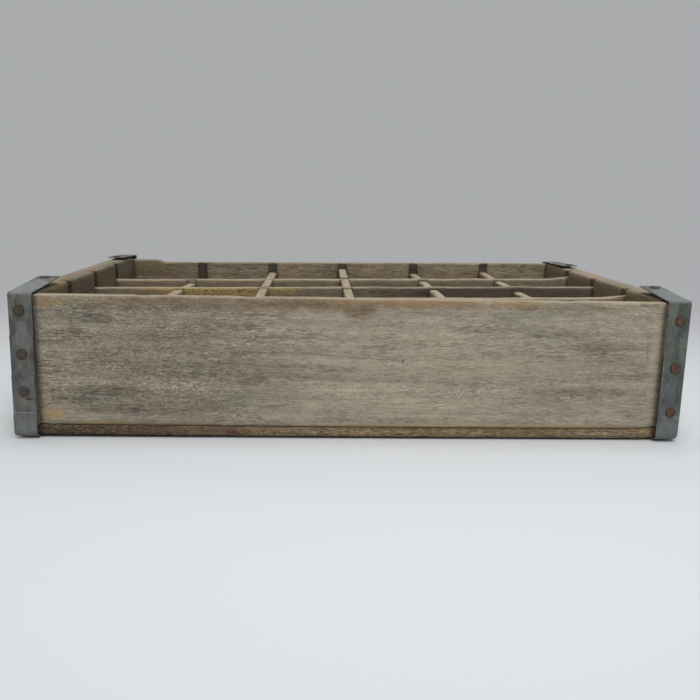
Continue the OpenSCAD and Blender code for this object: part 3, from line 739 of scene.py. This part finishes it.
# %% Marks of the slat, the end boards and the dividers
def slat_marks(wood, colour, scale):
    reddish = wood.times(wood.ease(scale["patches"], 0.5, 0.66), 0.5)
    colour = wood.mix(reddish, colour, tone(104, 66, 48))
    yellow = wood.times(wood.ease(scale["tints"], 0.5, 0.64), wood.ease(scale["grit"], 0.4, 0.6, 0.3, 1), 0.5)
    colour = wood.mix(yellow, colour, tone(152, 130, 78))
    pinkish = wood.times(wood.spot((185, -150, 3), (60, 20, 4), ragged=0.6, soft=0.7), 0.5)
    colour = wood.mix(pinkish, colour, tone(142, 122, 104))
    red_flake = wood.spot((-84, -150, 3), (11, 8, 2.2), ragged=1.2)
    colour = wood.mix(wood.times(red_flake, 0.75), colour, tone(92, 34, 24))
    bruised = wood.times(wood.ease(scale["grit"], 0.52, 0.36), 0.6)
    colour = wood.mix(bruised, colour, tone(50, 37, 24))
    scuffed = wood.times(wood.ease(scale["pores"], 0.52, 0.62), 0.75)
    colour = wood.mix(scuffed, colour, tone(176, 160, 132))
    pitted = wood.times(wood.ease(scale["lifted"], 0.48, 0.38), 0.7)
    colour = wood.mix(pitted, colour, tone(58, 44, 30))
    darker_left = wood.spot((-215, -150, 4), (215, 20, 60), ragged=0.4, soft=0.85)
    colour = wood.mix(darker_left, colour, tone(144, 131, 114), "MULTIPLY")
    colour = wood.mix(1.0, colour, tone(240, 236, 230), "MULTIPLY")
    rubbed_bits = wood.times(darker_left, wood.ease(scale["lifted"], 0.5, 0.64), 0.42)
    colour = wood.mix(rubbed_bits, colour, tone(142, 122, 94))
    # Painted shade along the top of the slat's front, under the board.
    shade_under_board = wood.spot((60, -148, 9), (260, 8, 4.2), ragged=0.4, soft=0.9)
    colour = wood.mix(shade_under_board, colour, tone(160, 148, 130), "MULTIPLY")
    # Painted shade along the slat's foot.
    foot_shade = wood.spot((0, -148, -1.2), (300, 10, 2.1), ragged=0.8, soft=0.45)
    return wood.mix(wood.times(foot_shade, 0.85), colour, tone(40, 25, 17))


def inner_half(wood, axis, outer, inner):
    """1 on the half of a board that faces the cells, and 0 on its outer half. Lengths are mm from the middle."""
    reach = wood.maths("ABSOLUTE", wood.vectors("DOT_PRODUCT", wood.here, axis))
    return wood.ease(reach, outer, inner)


def left_end_marks(wood, colour, scale):
    # The inner face is darkened as painted shade, more on this end than on the right one.
    colour = wood.mix(inner_half(wood, (1, 0, 0), 228, 222), colour, tone(170, 160, 134), "MULTIPLY")
    # A dark strip beside the strap at the front: painted shade in the gap between strap and board.
    shaded_strip = wood.spot((-216, -150, 50), (2.6, 5, 62), ragged=0.1, soft=0.2)
    colour = wood.mix(wood.times(shaded_strip, 0.85), colour, tone(44, 35, 26))
    mossy = wood.times(wood.spot((-216, -150, 22), (3, 5, 30), ragged=0.6), wood.ease(scale["grit"], 0.42, 0.56))
    return wood.mix(wood.times(mossy, 0.65), colour, tone(104, 94, 62))


def right_end_marks(wood, colour, scale):
    # The inner face is darkened as painted shade.
    colour = wood.mix(inner_half(wood, (1, 0, 0), 228, 222), colour, tone(194, 186, 151), "MULTIPLY")
    # A dark strip beside the strap at the front: painted shade in the gap between strap and board.
    shaded_strip = wood.spot((216, -150, 24), (2.6, 5, 42), ragged=0.1, soft=0.3)
    colour = wood.mix(wood.times(shaded_strip, 0.85), colour, tone(48, 36, 28))
    pinkish = wood.spot((216, -150, 84), (2.6, 5, 26), ragged=0.3, soft=0.4)
    return wood.mix(wood.times(pinkish, 0.85), colour, tone(168, 136, 110))


def left_top_tint(wood, colour):
    """The tints along the top of the left end board, from the front to the back."""
    for y, half, tint in ((-95, 34, tone(128, 120, 76)), (-15, 60, tone(122, 100, 82)), (85, 60, tone(108, 110, 86))):
        patch = wood.spot((-225, y, 99), (20, half, 6), ragged=0.9, soft=0.8)
        colour = wood.mix(wood.times(patch, 0.55), colour, tint)
    return colour


def right_top_tint(wood, colour):
    for y, half, tint in ((-85, 36, tone(124, 121, 92)), (20, 90, tone(142, 124, 108))):
        patch = wood.spot((225, y, 99), (20, half, 6), ragged=0.9, soft=0.8)
        colour = wood.mix(wood.times(patch, 0.7), colour, tint)
    return colour


def inside_marks(wood, colour, scale):
    # Below the rubbed top the divider is darkened, partly as stain and partly as painted shade inside the cells.
    inside = wood.maths("SUBTRACT", 1.0, wood.stored("top"))
    return wood.mix(wood.times(inside, 0.5), colour, tone(76, 62, 42))


def front_divider_marks(wood, colour, scale):
    # The whole divider is darkened, partly as stain and partly as painted shade inside the cells.
    colour = wood.mix(0.55, colour, tone(66, 54, 40))
    warm = wood.spot((-110, 0, 86), (90, 20, 9), ragged=0.6)
    colour = wood.mix(wood.times(warm, 0.75), colour, tone(160, 136, 78))
    moss = wood.times(warm, wood.ease(scale["grit"], 0.5, 0.6), 0.85)
    colour = wood.mix(moss, colour, tone(54, 42, 20))
    damp = wood.spot((130, 0, 84), (150, 20, 16), ragged=0.4, soft=0.6)
    return wood.mix(wood.times(damp, 0.7), colour, tone(52, 42, 33))


def back_board_marks(wood, colour, scale):
    outside = colour
    # The inside face is made darker and streakier than the outside, partly as stains and partly as painted shade.
    colour = wood.mix(1.0, colour, tone(240, 232, 220), "MULTIPLY")
    colour = wood.mix(wood.ease(scale["streaks"], 0.52, 0.66, 0, 0.5), colour, tone(66, 54, 38))
    colour = wood.mix(wood.ease(scale["tears"], 0.52, 0.62, 0, 0.6), colour, tone(62, 52, 40))
    colour = wood.mix(wood.ease(scale["patches"], 0.5, 0.62, 0, 0.3), colour, tone(82, 76, 54))
    colour = wood.mix(wood.ease(scale["tears"], 0.46, 0.36, 0, 0.6), colour, tone(152, 140, 120))
    colour = wood.mix(wood.ease(scale["tints"], 0.5, 0.36, 0, 0.3), colour, tone(112, 88, 66))
    # Painted shade on the left end of the inside face.
    shaded = wood.spot((-190, 140, 90), (90, 20, 40), ragged=0.5, soft=0.8)
    colour = wood.mix(wood.times(shaded, 0.35), colour, tone(60, 50, 36))
    mossy = wood.times(wood.spot((-205, 140, 92), (30, 20, 10), ragged=0.9), wood.ease(scale["streaks"], 0.4, 0.55))
    colour = wood.mix(wood.times(mossy, 0.6), colour, tone(108, 102, 56))
    return wood.mix(inner_half(wood, (0, 1, 0), 149, 146), outside, colour)


# %% Finish every board
LOOKS = {
    "side": {"pale": tone(153, 143, 126), "mid": tone(132, 123, 107), "dark": tone(84, 76, 66),
             "top": tone(146, 134, 110), "rubbed": 0.75, "flecks": 0.15, "grit": 0.16, "groove": 0.9},
    "end": {"pale": tone(153, 143, 126), "mid": tone(129, 119, 103), "dark": tone(70, 61, 50),
            "top": tone(122, 110, 93), "rubbed": 0.75, "flecks": 0.1, "grit": 0.08, "groove": 0.98},
    "slat": {"pale": tone(140, 122, 94), "mid": tone(112, 94, 68), "dark": tone(54, 42, 32),
             "top": tone(120, 104, 80), "rubbed": 0.2, "flecks": 0.14, "grit": 0.2, "groove": 0.9},
    "divider": {"pale": tone(150, 138, 116), "mid": tone(126, 114, 96), "dark": tone(66, 54, 44),
                "top": tone(158, 144, 118), "rubbed": 0.75, "flecks": 0.12, "grit": 0.08, "groove": 0.95},
}
TOP_TINTS = {"end_board_left": left_top_tint, "end_board_right": right_top_tint}
MARKS = {"side_board_front": front_marks, "bottom_slat_1": slat_marks, "end_board_left": left_end_marks,
         "end_board_right": right_end_marks, "side_board_back": back_board_marks,
         "long_divider_middle": front_divider_marks}
for number, (node, (grain, _, slot, _)) in enumerate(BOARDS.items()):
    kind = slot.split("_")[0]
    marks = MARKS.get(node, inside_marks if kind == "divider" else None)
    finish = weathered_wood(f"{node}_wood", grain, number + 1, LOOKS[kind], marks, TOP_TINTS.get(node))
    boards[node].data.materials.append(finish)
print("boards with a finish:", len(boards))

# %% [markdown]
# ## Bent straps
#
# The corner straps are thin steel with a coat of zinc, bent over the end boards by hand. The CAD strap is exact, but
# a real one is dented, and its edges are nicked. So each strap gets an even skin too, and both its faces move
# together, as a sheet does when it is knocked.

# %% Dent a strap
STRAPS = ["corner_strap_front_left", "corner_strap_front_right", "corner_strap_back_left", "corner_strap_back_right"]
STRAP_CELL = 0.5
FOLD_START_Z = 98.5


def dented_strap(node, seed):
    strap = fresh_skin(f"{node}_bent", node, STRAP_CELL * MM)
    mesh = strap.data
    points = mesh_points(mesh) / MM
    normals = mesh_normals(mesh)
    worn = eased(points, mesh_edges(mesh), 3)
    inward = -np.einsum("ij,ij->i", worn - points, normals)
    edge = np.clip(inward / 0.15, 0, 1)
    nicks = np.clip((layered_noise(points / 3.5, seed) - 0.3) / 0.3, 0, 1)
    shape = worn - normals * (0.3 * nicks * edge)[:, None]
    on_leg = (points[:, 2] > 5) & (points[:, 2] < FOLD_START_Z - 2)
    dents = layered_noise(np.column_stack((points[:, 0], points[:, 2], points[:, 1] * 0)) / 14, seed + 5, 2)
    shape[:, 1] += np.where(on_leg, 0.16 * dents, 0)
    on_fold = points[:, 2] > FOLD_START_Z + 1.5
    dips = layered_noise(np.column_stack((points[:, 0], points[:, 1], points[:, 2] * 0)) / 12, seed + 9, 2)
    shape[:, 2] -= np.where(on_fold, 0.25 * np.clip(0.5 + 0.5 * dips, 0, 1), 0)
    mesh.vertices.foreach_set("co", (shape * MM).ravel().astype(np.float32))
    mesh.update()
    keep_measures(mesh, {"edge": edge})
    mesh.shade_smooth()
    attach(strap, "root")
    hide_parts(node)
    print(f"{strap.name}: {len(mesh.vertices)} points")
    return strap


straps = {node: dented_strap(node, 900 + 20 * number) for number, node in enumerate(STRAPS)}

# %% [markdown]
# ## Old zinc
#
# Zinc goes dull grey outdoors. It is mottled, it has pale scratches, its edges are dark where the steel shows, and
# rust has run from the nails. The metal is no longer bright, so it is only partly metallic and rather rough.

# %% Strap finish
STRAP_NAIL_HEIGHTS = {-1: (33, 59, 88.9), 1: (21.3, 53.4, 87.3)}
STRAP_MIDDLE_X = 225


def old_zinc(name, seed, side, light, shade):
    zinc = Finish(name, 0.55, 0.25)
    here = zinc.vectors("ADD", zinc.here, (seed * 31.1, seed * 17.7, seed * 53.3))
    zinc.ragged = zinc.maths("SUBTRACT", zinc.noise(zinc.scaled(here, (0.5,) * 3), 3, 0.6), 0.5)
    cloudy = zinc.noise(zinc.scaled(here, (0.13, 0.13, 0.07)), 4, 0.6)
    streaks = zinc.noise(zinc.scaled(here, (1.0, 1.0, 0.06)), 3, 0.6)
    grit = zinc.noise(zinc.scaled(here, (0.8, 0.8, 0.8)), 3, 0.65)
    chips = zinc.noise(zinc.scaled(here, (0.45, 0.45, 0.3)), 3, 0.6)
    colour = zinc.mix(zinc.ease(cloudy, 0.32, 0.68), shade, light)
    colour = zinc.mix(zinc.ease(streaks, 0.5, 0.72, 0, 0.35), colour, tone(128, 131, 128))
    colour = zinc.mix(zinc.ease(grit, 0.53, 0.72, 0, 0.5), colour, tone(62, 62, 58))
    colour = zinc.mix(zinc.ease(chips, 0.66, 0.74, 0, 0.55), colour, tone(158, 160, 156))
    colour = zinc.mix(zinc.times(zinc.ease(chips, 0.36, 0.28), 0.4), colour, tone(84, 70, 58))
    tints = zinc.noise(zinc.scaled(here, (0.16, 0.16, 0.035)), 2, 0.5)
    colour = zinc.mix(zinc.ease(tints, 0.52, 0.66, 0, 0.22), colour, tone(94, 101, 116))
    colour = zinc.mix(zinc.ease(tints, 0.46, 0.34, 0, 0.3), colour, tone(88, 90, 68))
    for height in STRAP_NAIL_HEIGHTS[side]:
        rust = zinc.spot((side * STRAP_MIDDLE_X, 0, height - 1), (6, 400, 7), ragged=0.8, soft=0.7)
        colour = zinc.mix(zinc.times(rust, 0.5), colour, tone(84, 70, 54))
        # A dark ring on the strap round each nail head: painted shadow of the head.
        ring = zinc.spot((side * STRAP_MIDDLE_X, 0, height - 0.2), (4.9, 400, 4.9), ragged=0.3, soft=0.3)
        colour = zinc.mix(zinc.times(ring, 0.65), colour, tone(46, 42, 38))
    # A pale line across the strap where it bends: a painted highlight.
    crease_highlight = zinc.spot((side * STRAP_MIDDLE_X, 0, 18), (12, 400, 0.9), ragged=0.9)
    colour = zinc.mix(zinc.times(crease_highlight, 0.4), colour, tone(140, 142, 138))
    # The top fold is painted lighter: a painted highlight.
    head = zinc.spot((side * STRAP_MIDDLE_X, -148, 103), (14, 60, 4), ragged=0.4, soft=0.5)
    colour = zinc.mix(zinc.times(head, 0.35 if side < 0 else 0.3), colour, tone(146, 151, 157))
    # The foot of the strap is painted lighter: a painted highlight where it bends under.
    toe_highlight = zinc.spot((side * STRAP_MIDDLE_X, -152, 7), (14, 60, 13), ragged=0.6, soft=0.7)
    colour = zinc.mix(zinc.times(toe_highlight, 0.3), colour, tone(128, 132, 134))
    colour = zinc.mix(zinc.times(zinc.stored("edge"), 0.55), colour, tone(58, 58, 55))
    return zinc.close(colour, zinc.ease(cloudy, 0.3, 0.7, 0.5, 0.7), grit, 0.12)


ZINC_LOOKS = {
    "corner_strap_front_left": (-1, tone(100, 100, 95), tone(60, 60, 56)),
    "corner_strap_front_right": (1, tone(94, 98, 92), tone(60, 64, 59)),
    "corner_strap_back_left": (-1, tone(98, 100, 98), tone(70, 72, 70)),
    "corner_strap_back_right": (1, tone(98, 100, 98), tone(70, 72, 70)),
}
for number, (node, (side, light, shade)) in enumerate(ZINC_LOOKS.items()):
    straps[node].data.materials.append(old_zinc(f"{node}_zinc", number + 1, side, light, shade))

# %% [markdown]
# ## Nails
#
# A nail head is hammered: it is a little domed or dished, and no two are the same. The CAD nails are plain. Each one
# is found in the CAD mesh, which gives the place of its head, the way it points and its length. It is then made again
# as a lathe shape: a profile turned round its axis, with some noise so that it isn't perfectly round.

# %% Find the nails of a node
def loose_parts(mesh):
    """The points of each loose part of a mesh, in mm."""
    points = mesh_points(mesh) / MM
    parent = np.arange(len(points))
    edges = mesh_edges(mesh)
    while True:
        lowest = np.minimum(parent[edges[:, 0]], parent[edges[:, 1]])
        before = parent.copy()
        np.minimum.at(parent, edges[:, 0], lowest)
        np.minimum.at(parent, edges[:, 1], lowest)
        parent = parent[parent]
        if np.array_equal(before, parent):
            return [points[parent == label] for label in np.unique(parent)]


def nails_of(node):
    """The points of each nail: loose parts whose boxes touch belong to one nail."""
    parts = loose_parts(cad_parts[node].data)
    nails = []
    for part in parts:
        touching = [nail for nail in nails
                    if np.all(nail.min(0) < part.max(0) + 0.2) and np.all(part.min(0) < nail.max(0) + 0.2)]
        nails = [nail for nail in nails if not any(nail is other for other in touching)]
        nails.append(np.vstack([part, *touching]))
    return nails


def nail_facts(points):
    """The middle of a nail's head, the way it points, its length and its head's radius, in mm."""
    long_way = int(np.argmax(np.ptp(points, axis=0)))
    order = points[:, long_way]
    lower = points[order < order.min() + 3].mean(0)
    upper = points[order > order.max() - 3].mean(0)
    spread = [np.linalg.norm(points[np.abs(order - end) < 3] - middle, axis=1).max()
              for end, middle in ((order.min(), lower), (order.max(), upper))]
    head, tip = (upper, lower) if spread[1] > spread[0] else (lower, upper)
    inward = (tip - head) / np.linalg.norm(tip - head)
    depth = (points - head) @ inward
    off_axis = np.linalg.norm(points - head - depth[:, None] * inward, axis=1)
    return head + depth.min() * inward, inward, np.ptp(depth), off_axis.max()


# %% Turn the nails
ROUND_STEPS = 28
NAIL_RINGS = 12
SHANK_RADIUS = 1.2


def nail_profile(radius, length, dished):
    """Radius and depth from the top of the head down to the point, in mm."""
    middle = 0.32 if dished else 0.0
    lip = 0.0 if dished else 0.14
    return np.array([
        (0.12 * radius, middle), (0.3 * radius, middle * 0.9), (0.5 * radius, 0.02), (0.72 * radius, lip * 0.6),
        (0.88 * radius, lip + 0.05), (0.97 * radius, 0.3), (radius, 0.5), (0.96 * radius, 0.75),
        (0.8 * radius, 0.9), (SHANK_RADIUS, 0.95), (SHANK_RADIUS, length - 3), (0.3, length - 0.2),
    ])


def turned_nail(points, seed, dished):
    """Corners and faces of one nail, in mm."""
    head, inward, length, radius = nail_facts(points)
    sideways = np.cross(inward, np.eye(3)[int(np.argmin(np.abs(inward)))])
    sideways /= np.linalg.norm(sideways)
    upways = np.cross(inward, sideways)
    profile = nail_profile(radius, length, dished)
    angle = np.tile(2 * math.pi * np.arange(ROUND_STEPS) / ROUND_STEPS, len(profile))
    reach = np.repeat(profile[:, 0], ROUND_STEPS)
    depth = np.repeat(profile[:, 1], ROUND_STEPS)
    place = np.column_stack((np.cos(angle) * 1.3, np.sin(angle) * 1.3, reach / radius * 1.5)) + seed
    reach = reach * (0.95 - 0.05 * layered_noise(place, seed, 2))
    depth = depth + np.where(depth < 0.8, 0.12 + 0.12 * layered_noise(place * 1.4, seed + 3, 2), 0)
    corners = (head + depth[:, None] * inward + (reach * np.cos(angle))[:, None] * sideways
               + (reach * np.sin(angle))[:, None] * upways)
    faces = [tuple(reversed(range(ROUND_STEPS)))]
    for ring in range(len(profile) - 1):
        first = ring * ROUND_STEPS
        for step in range(ROUND_STEPS):
            after = (step + 1) % ROUND_STEPS
            faces.append((first + step, first + after, first + ROUND_STEPS + after, first + ROUND_STEPS + step))
    last = (len(profile) - 1) * ROUND_STEPS
    faces.append(tuple(range(last, last + ROUND_STEPS)))
    return corners, faces


def turned_nails(node, seed, dished):
    """All the nails of a CAD node as one piece."""
    corners, faces, count = [], [], 0
    for number, points in enumerate(nails_of(node)):
        nail_corners, nail_faces = turned_nail(points, seed + 7 * number, dished)
        if node == "side_nails":
            nail_corners[:, 2] -= np.where(nail_corners[:, 1] < 0, sag_at(nail_corners[:, 0]), 0)
        corners.append(nail_corners)
        faces += [tuple(index + count for index in face) for face in nail_faces]
        count += len(nail_corners)
    mesh = bpy.data.meshes.new(f"{node}_turned")
    mesh.from_pydata(np.vstack(corners) * MM, [], faces)
    shell = bmesh.new()
    shell.from_mesh(mesh)
    bmesh.ops.recalc_face_normals(shell, faces=shell.faces)
    shell.to_mesh(mesh)
    shell.free()
    mesh.shade_smooth()
    rim_by_ring = np.interp(np.arange(NAIL_RINGS), (3.4, 5), (0, 1))
    keep_measures(mesh, {"rim": np.tile(np.repeat(rim_by_ring, ROUND_STEPS), count // (ROUND_STEPS * NAIL_RINGS))})
    nails = bpy.data.objects.new(f"{node}_turned", mesh)
    bpy.context.scene.collection.objects.link(nails)
    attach(nails, "root")
    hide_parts(node)
    print(f"{nails.name}: {count // (ROUND_STEPS * NAIL_RINGS)} nails")
    return nails


NAIL_NODES = sorted(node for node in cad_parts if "nails" in node)
nails = {node: turned_nails(node, 50 + 30 * number, node.endswith("right"))
         for number, node in enumerate(NAIL_NODES)}
print("nail pieces:", len(nails))

# %% [markdown]
# ## Rust
#
# Nail iron rusts all over. Old rust is dark brown and dull, with redder and paler grains. The nails on the left are
# nearly black, and those on the right are redder.

# %% Nail finish
def rusty_iron(name, seed, dark, red):
    iron = Finish(name, 0.8, 0.15)
    here = iron.vectors("ADD", iron.here, (seed * 11.1, seed * 7.7, seed * 3.3))
    crust = iron.noise(iron.scaled(here, (0.5, 0.5, 0.5)), 4, 0.65)
    grains = iron.noise(iron.scaled(here, (1.8, 1.8, 1.8)), 3, 0.6)
    colour = iron.mix(iron.ease(crust, 0.35, 0.65), dark, red)
    colour = iron.mix(iron.ease(grains, 0.56, 0.72, 0, 0.3), colour, tone(128, 100, 76))
    colour = iron.mix(iron.ease(grains, 0.44, 0.3, 0, 0.5), colour, tone(46, 36, 32))
    height = iron.vectors("DOT_PRODUCT", iron.here, (0, 0, 1))
    colour = iron.mix(iron.ease(height, 93, 97, 0, 0.75), colour, tone(82, 76, 74))
    colour = iron.mix(iron.times(iron.stored("rim"), 0.7), colour, tone(44, 36, 31))
    return iron.close(colour, 0.8, grains, 0.2)


for number, (node, piece) in enumerate(nails.items()):
    redder = node.endswith("right")
    dark, red = (tone(62, 46, 36), tone(100, 64, 48)) if redder else (tone(50, 43, 37), tone(72, 60, 51))
    piece.data.materials.append(rusty_iron(f"{node}_rust", number + 1, dark, red))
